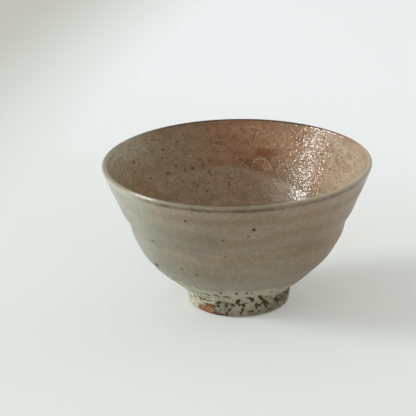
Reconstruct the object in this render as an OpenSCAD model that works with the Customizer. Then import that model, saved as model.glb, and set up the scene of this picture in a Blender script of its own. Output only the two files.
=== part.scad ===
// Wheel-thrown stoneware tea bowl with a turned foot, glazed inside and out.
// The glaze has crawled into beads round the foot. +Z is up and the table is at z = 0.

/* [Bowl] */
// Radius of the bowl at the lip, over the glaze
rim_r = 75; // [62:0.5:90]
// Height from the table to the top of the lip
bowl_h = 83.5; // [65:0.5:110]
// Thickness of the wall at the lip, glaze included
lip_t = 3.2; // [2.4:0.1:5]
// Thickness of the wall where it leaves the foot, glaze included
wall_t = 7.5; // [5.5:0.1:9]
// Thickness of the bowl's floor above the foot, glaze included
floor_t = 3; // [2:0.1:4.5]

/* [Wall curve] */
// Angle of the wall from upright where it leaves the foot, in degrees
foot_lean = 52; // [40:1:60]
// Fullness of the curve above the foot, as a share of the wall's straight span
foot_fullness = 0.485; // [0.3:0.005:0.6]
// Angle of the wall from upright at the lip, in degrees
lip_lean = 24; // [10:1:35]
// Fullness of the curve below the lip, as a share of the wall's straight span
lip_fullness = 0.61; // [0.3:0.01:0.7]

/* [Throwing marks] */
// Height above the table of the ring groove round the outside
groove_z = 51; // [40:0.5:65]
// Depth of the ring groove
groove_depth = 1.15; // [0.2:0.05:1.2]
// Half width of the ring groove
groove_w = 5.4; // [3:0.1:8]
// Height of the throwing ridges above and below the mean wall
ridge_h = 0.15; // [0.05:0.05:0.4]
// Distance from one throwing ridge to the next
ridge_pitch = 13; // [8:0.5:20]

/* [Foot] */
// Height of the foot, from the table to the wall
foot_h = 11; // [8:0.1:16]
// Radius of the foot's clay where it meets the wall
foot_top_r = 29; // [26:0.1:34]
// Radius of the foot's clay just above its bevel
foot_base_r = 27.6; // [23:0.1:32]
// Width of the foot's ring just above its bevels
foot_ring_w = 6.5; // [5:0.1:9]
// Bevel along both edges of the ring
foot_bevel = 1; // [0.3:0.1:1.5]
// Thickness of the clay over the well
web_t = 3; // [2:0.1:4]
// Amount by which the well narrows from the bevel to its ceiling
well_draft = 1.5; // [0.2:0.1:3]
// Rounding between the well's side and its ceiling
well_round = 2; // [0.5:0.1:3]
// Height of the turned peak in the middle of the well
well_peak_h = 1.2; // [0.2:0.1:2]

/* [Glaze] */
// Thickness of the glaze coats
glaze_t = 0.6; // [0.3:0.05:0.9]
// Length of the lip's glaze down each side of the wall
lip_band = 2; // [1:0.1:6]
// Height of the bare clay below the glaze in the well
well_bare_h = 2; // [1.6:0.1:4]

/* [Crawled glaze] */
// Radius of the largest glaze bead
bead_r = 1.1; // [0.8:0.05:2]
// Height of the largest glaze bead above the clay
bead_h = 0.7; // [0.3:0.05:0.75]
// Least gap between beads, and between the beads and the ends of the foot's side
bead_gap = 0.3; // [0.2:0.05:1]
// Size of the smallest bead, as a share of the largest
bead_least = 0.7; // [0.5:0.05:1]
// Width of the bare patch on the lowest beads, in degrees round the foot
bare_deg = 26; // [0:1:60]
// Place of the middle of the bare patch, in degrees round the foot
bare_at = 233; // [0:1:359]

/* [Hidden] */
$fn = 96;

// Number of straight pieces in each curve of the section
wall_steps = 48;
band_steps = 4;
lip_steps = 16;
floor_steps = 16;
corner_steps = 6;
// Share of the wall at each end over which the throwing marks die out
mark_fade = 0.2;
// First draw of the bead sizes
bead_seed = 7;

// Directions in the section, as [radius, height], for a wall that leans out from upright
function up_the_wall(lean) = [sin(lean), cos(lean)];
function out_of_wall(lean) = [cos(lean), -sin(lean)];
function unit(v) = v / norm(v);
function reversed(list) = [for (i = [len(list) - 1:-1:0]) list[i]];
function cubic(a, b, c, d, t) =
    pow(1 - t, 3) * a + 3 * pow(1 - t, 2) * t * b + 3 * (1 - t) * t * t * c + pow(t, 3) * d;

// The wall's outer face is one cubic curve from the foot to the round lip
lip_r = lip_t / 2;
lip_middle = [rim_r - lip_r, bowl_h - lip_r];
wall_start = [foot_top_r, foot_h] + glaze_t * out_of_wall(foot_lean);
wall_end = lip_middle + lip_r * out_of_wall(lip_lean);
wall_span = norm(wall_end - wall_start);
low_handle = wall_start + foot_fullness * wall_span * up_the_wall(foot_lean);
high_handle = wall_end - lip_fullness * wall_span * up_the_wall(lip_lean);
function face(t) = cubic(wall_start, low_handle, high_handle, wall_end, t);
function face_out(t) =
    let(
        run = pow(1 - t, 2) * (low_handle - wall_start)
            + 2 * (1 - t) * t * (high_handle - low_handle)
            + t * t * (wall_end - high_handle),
        along = unit(run)
    )
    [along.y, -along.x];

// Throwing marks push the outer face in and out, and die out at the foot and the lip
function fade(t) = min(1, t / mark_fade, (1 - t) / mark_fade);
function mark(t) =
    let(z = face(t).y - groove_z)
    -fade(t) * (groove_depth * exp(-pow(z / groove_w, 2)) + ridge_h * cos(360 * z / ridge_pitch));

// Points at a depth below the outer face, and at a depth below the inner face
function wall_thickness(t) = wall_t + (lip_t - wall_t) * t;
function outer_point(t, depth) = face(t) + [mark(t), 0] - depth * face_out(t);
function inner_point(t, depth) = face(t) - (wall_thickness(t) - depth) * face_out(t);

// Stations along the wall: below the lip's glaze, and under it
band_start = 1 - lip_band / (3 * norm(wall_end - high_handle));
below_band = [for (i = [0:wall_steps]) band_start * i / wall_steps];
under_band = [for (i = [0:band_steps]) band_start + (1 - band_start) * i / band_steps];
function outer_line(stations, depth) = [for (t = stations) outer_point(t, depth)];
function inner_line(stations, depth) = [for (t = stations) inner_point(t, depth)];
function lip_line(depth) =
    [for (i = [1:lip_steps - 1])
        let(a = 180 * i / lip_steps - lip_lean)
        lip_middle + (lip_r - depth) * [cos(a), sin(a)]];

// The floor leaves the wall along its slope and is level in the middle
function floor_line(depth) =
    let(
        edge = inner_point(0, depth),
        level = foot_h + floor_t - depth,
        low = edge - up_the_wall(foot_lean) * (edge.y - level) / cos(foot_lean)
    )
    [for (i = [1:floor_steps]) cubic(edge, low, [low.x / 2, level], [0, level], i / floor_steps)];

// The well under the foot, at a depth into the air below its clay
well_z = foot_h - web_t;
well_base_r = foot_base_r - foot_ring_w;
well_top_r = well_base_r - well_draft;
function well_side_r(z) = well_base_r - well_draft * (z - foot_bevel) / (well_z - foot_bevel);
function well_ceiling_z(r) = well_z - well_peak_h * (1 - r / well_top_r);
function well_line(depth) =
    let(
        corner = [well_top_r - depth, well_z - depth],
        inner_r = corner.x - well_round,
        outer_z = corner.y - well_round,
        inner = [inner_r, well_ceiling_z(inner_r) - depth],
        outer = [well_side_r(outer_z) - depth, outer_z]
    )
    concat(
        [[0, well_ceiling_z(0) - depth]],
        [for (i = [0:corner_steps])
            let(t = i / corner_steps)
            pow(1 - t, 2) * inner + 2 * t * (1 - t) * corner + t * t * outer],
        [[well_side_r(well_bare_h) - depth, well_bare_h]]
    );

// Rows of beads up the sloping side of the foot, clear of the bevel and of the wall's glaze
foot_flare = atan((foot_top_r - foot_base_r) / (foot_h - foot_bevel));
glaze_drop = glaze_t * sin(foot_lean);
bead_pitch = 2 * bead_r + bead_gap;
bead_low = foot_bevel + bead_gap + bead_r;
bead_high = foot_h - glaze_drop - bead_gap - bead_r;
bead_rows = max(1, 1 + floor((bead_high - bead_low) / (bead_pitch * sin(60))));
bead_row_step = bead_rows > 1 ? (bead_high - bead_low) / (bead_rows - 1) : 0;
function foot_side_r(z) = foot_base_r + (z - foot_bevel) * tan(foot_flare);
beads_in_row = floor(2 * PI * min(foot_side_r(bead_low), foot_side_r(bead_high)) / bead_pitch);
function turn_from_bare(a) = abs((a - bare_at + 540) % 360 - 180);

module clay_wall() {
    color("rosybrown")
    rotate_extrude()
    polygon(concat(
        [[0, foot_h]],
        outer_line(below_band, glaze_t),
        [for (i = [1:band_steps]) outer_point(under_band[i], glaze_t)],
        lip_line(glaze_t),
        inner_line(reversed(under_band), glaze_t),
        [for (i = [wall_steps - 1:-1:0]) inner_point(below_band[i], glaze_t)],
        floor_line(glaze_t)
    ));
}

module foot() {
    color("sienna")
    rotate_extrude()
    polygon(concat(
        [[0, foot_h]],
        well_line(0),
        [
            [well_base_r, foot_bevel],
            [well_base_r + foot_bevel, 0],
            [foot_base_r - foot_bevel, 0],
            [foot_base_r, foot_bevel],
            [foot_top_r, foot_h]
        ]
    ));
}

module outer_glaze() {
    color("darkkhaki")
    rotate_extrude()
    polygon(concat(outer_line(below_band, 0), reversed(outer_line(below_band, glaze_t))));
}

module inner_glaze() {
    color("tan")
    rotate_extrude()
    polygon(concat(
        inner_line(reversed(below_band), 0),
        floor_line(0),
        reversed(floor_line(glaze_t)),
        inner_line(below_band, glaze_t)
    ));
}

module lip_glaze() {
    color("gainsboro")
    rotate_extrude()
    polygon(concat(
        outer_line(under_band, 0),
        lip_line(0),
        inner_line(reversed(under_band), 0),
        inner_line(under_band, glaze_t),
        reversed(lip_line(glaze_t)),
        reversed(outer_line(under_band, glaze_t))
    ));
}

// One bead: a round drop of glaze, flat where it sits on the clay
module glaze_bead(r, h) {
    ball_r = (r * r + h * h) / (2 * h);
    rotate_extrude()
    intersection() {
        translate([0, h - ball_r]) circle(ball_r);
        square([r, h]);
    }
}

module foot_glaze() {
    color("ivory")
    for (row = [0:bead_rows - 1]) {
        z = bead_low + row * bead_row_step;
        sizes = rands(bead_least, 1, beads_in_row, bead_seed + row);
        for (i = [0:beads_in_row - 1]) {
            a = 360 * (i + row / 2) / beads_in_row;
            if (row > 0 || turn_from_bare(a) > bare_deg / 2)
                rotate([0, 0, a])
                translate([foot_side_r(z), 0, z])
                rotate([0, 90 + foot_flare, 0])
                glaze_bead(bead_r * sizes[i], bead_h * sizes[i]);
        }
    }
}

module foot_well_glaze() {
    color("beige")
    rotate_extrude()
    polygon(concat(well_line(0), reversed(well_line(glaze_t))));
}

clay_wall();
foot();
outer_glaze();
inner_glaze();
lip_glaze();
foot_glaze();
foot_well_glaze();
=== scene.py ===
"""A wheel-thrown tea bowl with crawled glaze on its turned foot, on a pale table beside a window."""

import functools
import math

import bpy
import numpy as np
from mathutils import Matrix, Vector


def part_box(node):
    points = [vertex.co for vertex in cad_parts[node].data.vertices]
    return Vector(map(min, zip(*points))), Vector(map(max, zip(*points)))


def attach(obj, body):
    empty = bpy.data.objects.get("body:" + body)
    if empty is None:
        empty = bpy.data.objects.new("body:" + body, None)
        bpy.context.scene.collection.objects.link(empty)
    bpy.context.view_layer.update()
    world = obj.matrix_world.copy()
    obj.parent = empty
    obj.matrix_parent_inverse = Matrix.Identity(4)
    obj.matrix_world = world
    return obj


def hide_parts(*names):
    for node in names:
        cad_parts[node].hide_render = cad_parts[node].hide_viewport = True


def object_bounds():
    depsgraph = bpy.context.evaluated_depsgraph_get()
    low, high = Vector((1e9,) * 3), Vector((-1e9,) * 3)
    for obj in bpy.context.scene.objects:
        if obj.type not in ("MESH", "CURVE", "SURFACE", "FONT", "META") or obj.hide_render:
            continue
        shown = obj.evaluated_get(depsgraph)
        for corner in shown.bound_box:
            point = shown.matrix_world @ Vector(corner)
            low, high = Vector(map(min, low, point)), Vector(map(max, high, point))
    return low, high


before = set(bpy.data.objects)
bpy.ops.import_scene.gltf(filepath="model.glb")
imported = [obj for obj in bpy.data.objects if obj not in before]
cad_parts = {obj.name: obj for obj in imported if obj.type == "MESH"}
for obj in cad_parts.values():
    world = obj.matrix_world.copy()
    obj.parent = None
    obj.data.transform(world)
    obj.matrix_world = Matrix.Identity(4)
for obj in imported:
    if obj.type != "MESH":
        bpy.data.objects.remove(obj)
cad_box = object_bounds()
MM = 0.001
BOWL_HEIGHT = cad_box[1].z
FOOT_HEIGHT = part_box("foot")[1].z
FOOT_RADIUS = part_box("foot")[1].x
LIP_HALF = 1.6 * MM
LIP_CROWN = cad_box[1].x - LIP_HALF

# How finely each surface is turned: the columns round it, the steps along its section, how far the corners
# of the section are eased, and how far the columns are drawn together on one side
OUTER_AROUND = 730
INNER_AROUND = 530
LIP_AROUND = 720
CRAWL_AROUND = 840
FOOT_AROUND = 600
WELL_AROUND = 420
CLAY_AROUND = 280
WALL_STEP = 1.6 * MM
CREPE_STEP = 0.8 * MM
CRAWL_STEP = 0.3 * MM
INNER_STEP = 0.4 * MM
FLOOR_STEP = 1.1 * MM
LIP_STEP = 0.2 * MM
FOOT_STEP = 0.2 * MM
WELL_STEP = 0.5 * MM
WALL_EASE = 2.4 * MM
LIP_EASE = 0.5 * MM
FOOT_EASE = 0.5 * MM
JOINT_EASE = 1.2 * MM
OUTER_CLOSER = 0.2
INNER_CLOSER = 0.6
CAMERA_SIDE = -90

# What counts as one corner, as the axis, as a sharp corner of a section and as a sharp edge of a piece, and
# how close two points of a seam are joined
SAME_CORNER = 0.02 * MM
AT_AXIS = 0.01 * MM
SHARP_CORNER = math.radians(50)
SHARP_EDGE = math.radians(55)
SEAM_WELD = 0.002 * MM

# Relief of the glaze and the clay
THROWING_SWELL = 0.1 * MM
ORANGE_PEEL = 0.008 * MM
CREPE_AT_FOOT = 1.1 * MM
CREPE_TOP = 36 * MM
INNER_WRINKLE = 0.13 * MM
INNER_WRINKLE_APART = 2.0 * MM
INNER_RIPPLE = 0.045 * MM
WRINKLED_SIDE = 46
INNER_LEDGE = 0.2 * MM
LEDGE_HIGH = 59.2 * MM
LEDGE_LOW = 46.5 * MM
INNER_RING = 0.3 * MM
INNER_RING_AT = 79 * MM
INNER_RING_APART = 35 * MM
OUTER_RING_APART = 12.6 * MM
OUTER_RING_AT = 74 * MM
TURNING_LINES = 0.07 * MM
GROG = 0.06 * MM

# Fine height that the materials add: the glaze's peel, lumps and folds, the pale rims and iron pits inside,
# and the grain of the glaze and of the clay
PEEL_HEIGHT = 0.004 * MM
LUMP_HEIGHT = 0.19 * MM
LUMPS_APART = 2.1 * MM
FOLD_HEIGHT = 0.012 * MM
RIM_HEIGHT = 0.1 * MM
PIT_DEPTH = 0.04 * MM
GRAIN_HEIGHT = 0.01 * MM
CLAY_GRAIN = 0.08 * MM

# The least and the most roughness of each finish
SATIN = (0.4, 0.52)
INNER_GLOSS = (0.1, 0.18)
LIP_GLOSS = (0.1, 0.2)
CRAWLED_GLOSS = (0.28, 0.42)
CLAY_MATT = (0.7, 0.9)

# The foot: how much of it is finely turned, its bevel, and how far below its top the coat leaves it
FOOT_RING = 5 * MM
FOOT_UNDER_WALL = 0.3 * MM
BEVEL_WIDE = 4 * MM
BEVEL_LOW = 0.5 * MM
JOINT_BELOW = 1 * MM

# The lip: its rolled edge and the shallow line under it, as shares of the way over the lip
LIP_ROLL = 0.16 * MM
LIP_ROLL_AT = 0.48
LIP_ROLL_WIDE = 0.12
LIP_LINE = 0.2 * MM
LIP_LINE_AT = 0.22
LIP_LINE_WIDE = 0.09
LIP_ENDS = 0.06

# Crawled glaze: how far apart its gaps are and how wide they open, how thick it lies and how high it reaches
CRAWL_APART = 5 * MM
CRAWL_GAP = 0.75 * MM
CRAWL_EDGE = 0.28 * MM
CRAWL_THICK = 1.25 * MM
CRAWL_THIN = 0.8 * MM
CRAWL_DEPTH = 1.0 * MM
CRAWL_TOP = 24 * MM
CRAWL_WORST = 11 * MM
CRAWL_FADED = CRAWL_WORST + 4 * MM
CRAWL_PUFF = 1.6 * MM
CRAWL_BACK = 1.5 * MM
CRAWL_ON_WALL = 0.3 * MM
WELL_DEPTH = 0.7 * MM
OVERHANG = 0.6

# How open the gaps are where the glaze crawled worst, higher up and at the base, and how much less they are
# open among the tears
OPEN_WORST = 0.58
OPEN_HIGH = 0.3
OPEN_BASE = 0.4
OPEN_LESS = 0.17

# The angles between which the placed tears take over and give way again, and another part of the noise, for
# gaps that cross the first ones
TORN_SIDE = (-176, -164, -48, -34)
ELSEWHERE = (0.031, 0.017, 0.043)

# The hand of the maker: how far the lip leaves a true circle and a true level, and the low wall its axis
LIP_OVAL = 0.35 * MM
LIP_DIP = 0.3 * MM
LOW_SWAY = 0.6 * MM
LOW_SWAY_AT = 25 * MM
LOW_SWAY_WIDE = 12 * MM

# Where the glaze has torn open on the side towards the camera. Each tear has a width in millimetres, and
# the places that it runs through by angle round the bowl in degrees and height in millimetres.
TEARS = (
    (0.7, ((-138, 9.5), (-136, 8.4), (-130, 8.8))),
    (0.8, ((-127, 11), (-125, 9.3), (-118, 9.8))),
    (0.9, ((-121, 16.8), (-117, 15.6))),
    (0.9, ((-110, 17), (-107, 15.8))),
    (0.7, ((-102, 16), (-97, 15.2))),
    (1.1, ((-113, 8.6), (-109, 10.3))),
    (0.8, ((-89, 12), (-92, 10.9), (-91, 9.2), (-89, 8.3), (-84, 9), (-81, 9.8))),
    (0.5, ((-104, 8.8), (-103, 6.7))),
    (0.5, ((-100, 5.5), (-101, 4.3))),
    (0.5, ((-96, 8.2), (-94, 7.6))),
    (0.8, ((-86, 6.3), (-86, 4.5), (-88, 2.9))),
    (0.8, ((-104, 2.7), (-104, 0.8))),
    (0.5, ((-146, 9.7), (-146, 8.4))),
    (0.4, ((-153, 6.5), (-150, 5.3))),
    (0.4, ((-164, 3), (-154, 2.4))),
    (0.4, ((-83, 15.3), (-80, 14.6))),
    (0.8, ((-81, 14.8), (-77, 12.9), (-75, 11.4))),
    (0.9, ((-71, 8.2), (-66, 6.6), (-62, 9))),
    (0.8, ((-71, 7.9), (-70, 5.4))),
    (0.8, ((-71, 15.3), (-62, 10.2), (-55, 6.4))),
    (1.0, ((-47, 8.7), (-42, 6.9))),
    (0.6, ((-20, 4), (-16, 6))),
    (0.5, ((-80, 3.6), (-74, 3.8))),
    (0.5, ((-61, 8), (-57, 4.2))),
    (0.6, ((-50, 17), (-44, 17.1))),
)

# Pinholes beside the tears, each by its width in millimetres, angle in degrees and height in millimetres
PINHOLES = (
    (0.6, -103, 20.3), (0.8, -91, 20.1), (0.6, -83, 20.3), (0.5, -79, 19.7), (0.7, -128, 15.3),
    (0.6, -132, 16), (0.6, -155, 6.6), (0.8, -60, 12.8), (0.9, -54, 10.7), (0.8, -62, 18),
    (0.8, -39, 9.6), (0.9, -34, 9.9), (0.9, -36, 12.6), (0.7, -36, 6.2), (0.8, -53, 3),
    (0.6, -67, 2.9), (0.7, -54, 16.4),
)

# Where the foot was held while it was dipped, so that clay shows, written as the tears are
BARE = (
    (3.8, ((-140, 2), (-128, 2.8))),
    (1.8, ((-127, 5.6), (-119, 6))),
    (1.7, ((-131, 1.2), (-108, 0.9))),
    (0.9, ((-124, 4.4), (-116, 3))),
)
BARE_ANGLE = -135
BARE_HEIGHT = 1.5 * MM
BARE_REACH = 10 * MM

# Where sand shows through the thin glaze of the foot
SANDY_ANGLE = -108
SANDY_HEIGHT = 5 * MM
SANDY_REACH = 9 * MM

# Iron specks by angle round the bowl in degrees, height and width in millimetres
OUTER_SPECKS = (
    (-83, 68.7, 1.9), (-145.5, 34, 2.8), (-139, 51.9, 1.3), (-112.7, 73.1, 1.3), (-85.5, 64.5, 1.0),
    (-96.8, 61.9, 1.0), (-122.7, 38.2, 1.1), (-114, 35.8, 1.2), (-96.5, 50, 0.9), (18, 57, 1.6),
    (64, 40, 1.2), (101, 66, 1.5), (133, 47, 1.0), (161, 61, 1.3), (-28, 44, 1.1),
)
INNER_SPECKS = (
    (161, 78, 1.1), (152, 72, 1.7), (137, 73, 1.1), (138, 80.5, 0.9), (130, 72.5, 1.5), (124, 70.5, 0.9),
    (121, 75, 1.5), (117, 78, 1.2), (118, 75.5, 0.9), (129, 67.5, 1.0), (132, 68.5, 1.1), (117, 67.5, 1.0),
    (125, 62.5, 1.5), (131, 60, 1.5), (115, 59.5, 1.9), (120, 59.5, 1.2), (109, 60, 1.5), (110, 63.5, 1.1),
    (105, 62, 1.1), (106, 56, 1.6), (105, 54.5, 1.0), (99, 74.5, 1.1), (100, 71.5, 1.4), (91, 74.5, 1.0),
    (91, 65.5, 1.0), (92, 63, 1.0), (88, 62, 1.4), (123, 54, 1.0), (116, 51.5, 1.1), (114, 50, 1.1),
    (95, 49, 1.1), (109, 46, 1.2), (116, 46.5, 1.1), (144, 60.5, 1.0), (84, 71.3, 1.2), (72, 78.5, 1.1),
    (85, 60.3, 1.1), (84, 61.6, 1.0), (82, 61.3, 1.1), (82.5, 59.3, 1.3), (84, 58.8, 1.0), (80.5, 59.8, 1.1),
    (73, 71, 1.1), (67, 74.5, 0.9), (33, 65, 1.6), (43, 70.5, 1.2), (-20, 60, 1.3), (-75, 48, 1.1),
    (-128, 66, 1.4), (-160, 40, 1.0), (60, 31, 1.1), (-40, 30, 0.9), (-100, 72, 1.2), (-8, 74, 1.0),
)

# Burst blisters inside: the width of each pale rim in millimetres, then the places that it runs through by
# angle round the bowl in degrees and height in millimetres
BLISTERS = (
    (1.0, ((86.4, 77.9), (85.8, 78.5), (84.3, 79.4), (82.2, 79.6), (80.7, 79.2), (80.1, 78.7), (78.6, 79.1),
           (77.6, 78.8), (77.1, 77.5))),
    (0.8, ((84.3, 75.9), (83.4, 77.6))),
    (0.8, ((83.0, 74.5), (82.1, 76.3))),
    (0.7, ((79.3, 76.4), (79.1, 78.4))),
    (0.6, ((84.1, 71.5), (83.5, 72.2), (82.7, 71.5), (83.0, 70.5))),
    (0.6, ((73.5, 71.4), (72.9, 71.9), (72.2, 71.5))),
    (0.6, ((73.3, 69.4), (72.5, 69.9), (71.8, 69.3))),
    (1.0, ((79.1, 62.2), (77.1, 63.1), (75, 62.6), (73.1, 61.2), (71.5, 59.7), (69.7, 57.5))),
    (0.9, ((75.4, 59.4), (74.9, 58.1), (73.3, 57), (71.6, 57.6), (70.7, 59.1))),
    (0.8, ((74.5, 59.1), (73.3, 59.5))),
    (0.8, ((85.2, 59), (84.1, 58.1), (82, 58.2), (80.6, 58.9))),
    (0.7, ((80.5, 60.4), (80.1, 61.6))),
    (0.8, ((65.8, 63), (66.7, 61.9), (65.7, 60.3), (64, 60.9))),
)

# Rust inside, written as the blisters are, after its strength
RUST = (
    (1.0, 4.4, ((77.2, 66.3), (73.8, 65.6))),
    (0.7, 3.4, ((74.4, 65.6), (69.6, 67))),
    (0.45, 3.0, ((71.4, 63.2), (69.4, 59.6))),
    (0.5, 2.0, ((84.6, 58.4), (79.1, 57.3), (75.8, 57.2))),
    (0.4, 2.2, ((70.9, 56.6), (69.2, 55))),
    (0.5, 3.4, ((84.8, 60.4), (81.6, 60))),
    (0.3, 3.0, ((42.8, 76.8), (35.6, 74.9))),
    (0.35, 3.6, ((30.8, 70.8), (19.4, 69.5))),
    (0.25, 2.6, ((43.7, 68.3), (37.3, 65.6))),
    (0.2, 2.6, ((48.4, 51.8), (42, 49.9))),
    (0.3, 2.4, ((66.6, 61.9), (61.5, 57.1))),
)


class Wiring:
    """Adds nodes to one tree. An input takes another node's output or a plain value."""

    def __init__(self, tree):
        self.tree = tree

    def feed(self, socket, value):
        if isinstance(value, bpy.types.NodeSocket):
            self.tree.links.new(value, socket)
        else:
            socket.default_value = value

    def node(self, kind, settings=None, **feeds):
        """One node. A feed is named as its socket, with _ for a space."""
        made = self.tree.nodes.new(kind)
        for name, value in (settings or {}).items():
            setattr(made, name, value)
        for name, value in feeds.items():
            self.feed(made.inputs[name.replace("_", " ")], value)
        return made

    def math(self, operation, *values):
        made = self.node("ShaderNodeMath", {"operation": operation})
        for socket, value in zip(made.inputs, values):
            self.feed(socket, value)
        return made.outputs[0]

    def folded(self, operation, values):
        return functools.reduce(lambda a, b: self.math(operation, a, b), values)

    def times(self, *values):
        return self.folded("MULTIPLY", values)

    def plus(self, *values):
        return self.folded("ADD", values)

    def least(self, *values):
        return self.folded("MINIMUM", values)

    def most(self, *values):
        return self.folded("MAXIMUM", values)

    def minus(self, a, b):
        return self.math("SUBTRACT", a, b)

    def vector(self, operation, *values):
        made = self.node("ShaderNodeVectorMath", {"operation": operation})
        for socket, value in zip(made.inputs, values):
            self.feed(socket, value)
        return made.outputs["Value" if operation in ("LENGTH", "DISTANCE", "DOT_PRODUCT") else "Vector"]

    def scaled(self, where, factor):
        made = self.node("ShaderNodeVectorMath", {"operation": "SCALE"}, Scale=factor)
        self.feed(made.inputs[0], where)
        return made.outputs["Vector"]

    def parts(self, where):
        """A place's X, Y and Z."""
        return self.node("ShaderNodeSeparateXYZ", Vector=where).outputs

    def height_of(self, where):
        return self.parts(where)["Z"]

    def between(self, value, low, high, to_low=0.0, to_high=1.0):
        """A smooth step from to_low at low to to_high at high."""
        made = self.node(
            "ShaderNodeMapRange", {"interpolation_type": "SMOOTHSTEP"},
            Value=value, From_Min=low, From_Max=high, To_Min=to_low, To_Max=to_high,
        )
        return made.outputs["Result"]

    def window(self, value, start, full, past, end):
        """A smooth rise from 0 at start to 1 at full, and a smooth fall from 1 at past to 0 at end."""
        return self.times(self.between(value, start, full), self.between(value, end, past))

    def noise(self, where, size, detail=2.0, roughness=0.5):
        """Soft noise from about 0.25 to 0.75 whose lumps are about size metres apart."""
        made = self.node(
            "ShaderNodeTexNoise", Vector=where, Scale=1 / size, Detail=detail, Roughness=roughness)
        return made.outputs[0]

    def ups_and_downs(self, where, size, **kind):
        """The same noise from about -0.5 to 0.5."""
        return self.times(self.minus(self.noise(where, size, **kind), 0.5), 2.0)

    def drift(self, where, size, amount):
        """The place moved about by soft noise, so that a pattern loses its straight lines."""
        made = self.node("ShaderNodeTexNoise", Vector=where, Scale=1 / size, Detail=2.0)
        centred = self.vector("SUBTRACT", made.outputs[1], (0.5, 0.5, 0.5))
        return self.vector("ADD", where, self.scaled(centred, amount))

    def mix(self, factor, a, b, blend="MIX"):
        made = self.node("ShaderNodeMix", {"data_type": "RGBA", "blend_type": blend})
        self.feed(made.inputs[0], factor)
        self.feed(made.inputs[6], a)
        self.feed(made.inputs[7], b)
        return made.outputs[2]

    def tinted(self, colour, mask, amount, tint):
        """The colour mixed towards a tint, by a mask times an amount."""
        return self.mix(self.times(mask, amount), colour, tint)


def srgb(red, green, blue):
    """A colour as seen on a screen, from 0 to 255, as Blender's linear colour."""
    def linear(part):
        part /= 255
        return part / 12.92 if part <= 0.04045 else ((part + 0.055) / 1.055) ** 2.4
    return (linear(red), linear(green), linear(blue), 1.0)


# Colours of the clay and the glazes, each from its darker to its lighter bands or grain
STONEWARE = (srgb(84, 52, 38), srgb(112, 72, 52))
FOOT_CLAY = (srgb(78, 48, 35), srgb(106, 66, 48))
BARE_CLAY = (srgb(98, 66, 46), srgb(170, 114, 72))
OUTER_ASH = (srgb(152, 149, 131), srgb(158, 156, 139))
OUTER_WARM = (srgb(149, 130, 108), srgb(161, 146, 126))
OUTER_RED = (srgb(142, 118, 95), srgb(154, 134, 112))
INNER_BROWN = (srgb(147, 107, 74), srgb(157, 120, 88))
INNER_TAN = (srgb(144, 114, 78), srgb(154, 135, 104))
INNER_GREY = (srgb(152, 127, 102), srgb(161, 139, 114))
PALE_THICK = (srgb(166, 162, 138), srgb(192, 190, 164))
# The pale glaze's darker colours are in part painted shade
PALE_THIN_AND_SHADED = (srgb(126, 119, 100), srgb(148, 142, 121))

# Colours of the marks in them
TORN_CLAY = srgb(98, 64, 46)
SMOKE = srgb(112, 74, 48)
IRON = srgb(42, 22, 10)
RUST_RED = srgb(120, 68, 16)
PALE_RIM = srgb(190, 172, 138)


def on_bowl(angle, radius, height):
    """A place by its angle round the bowl in degrees, and its radius and height in metres."""
    turn = math.radians(angle)
    return Vector((radius * math.cos(turn), radius * math.sin(turn), height))


WRINKLED_MIDDLE = on_bowl(WRINKLED_SIDE, 66 * MM, 68 * MM)


def new_object(name, data):
    """An object of its own in the scene."""
    made = bpy.data.objects.new(name, data)
    bpy.context.scene.collection.objects.link(made)
    return made


# Sections, read from the turned solids of the frame

@functools.lru_cache
def section(node):
    """The corners of a turned node's section, in order round it, as (radius, height) in metres.
    They run anticlockwise, so the air is on the right. A section at the axis starts and ends there."""
    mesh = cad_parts[node].data
    places = np.empty(len(mesh.vertices) * 3)
    mesh.vertices.foreach_get("co", places)
    places = places.reshape(-1, 3)
    flat = np.column_stack([np.hypot(places[:, 0], places[:, 1]), places[:, 2]])
    corners = []
    for point in np.unique(np.round(flat, 6), axis=0):
        if all(np.hypot(*(point - kept)) > SAME_CORNER for kept in corners):
            corners.append(point)
    corners = np.array(corners)
    nearest = np.argmin(((flat[:, None, :] - corners[None]) ** 2).sum(2), axis=1)
    ends = np.empty(len(mesh.edges) * 2, dtype=np.int64)
    mesh.edges.foreach_get("vertices", ends)
    beside = {i: set() for i in range(len(corners))}
    for a, b in nearest[ends.reshape(-1, 2)]:
        if a != b:
            beside[a].add(b)
            beside[b].add(a)
    order = [min(beside, key=lambda i: (len(beside[i]), corners[i][0]))]
    while len(order) < len(corners):
        ahead = [i for i in beside[order[-1]] if i not in order]
        order.append(min(ahead, key=lambda i: np.hypot(*(corners[i] - corners[order[-1]]))))
    line = corners[order]
    if line[0][0] < MM < line[-1][0]:
        line = np.vstack([line, [0, line[-1][1]]])
    area = np.sum(line[:, 0] * np.roll(line[:, 1], -1) - np.roll(line[:, 0], -1) * line[:, 1])
    return line if area > 0 else line[::-1]


def long_lines(node):
    """The two long lines of a thin coat's section, without the short ends between its sharp corners."""
    line = section(node)
    into = line - np.roll(line, 1, axis=0)
    onward = np.roll(line, -1, axis=0) - line
    turn = np.arctan2(into[:, 0] * onward[:, 1] - into[:, 1] * onward[:, 0], (into * onward).sum(1))
    sharp = np.flatnonzero((np.abs(turn) > SHARP_CORNER) | (line[:, 0] < AT_AXIS))
    runs = []
    for start, stop in zip(sharp, np.roll(sharp, -1)):
        run = line[start:stop + 1] if stop > start else np.vstack([line[start:], line[:stop + 1]])
        if len(run) > 3:
            runs.append(run)
    return runs


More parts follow.
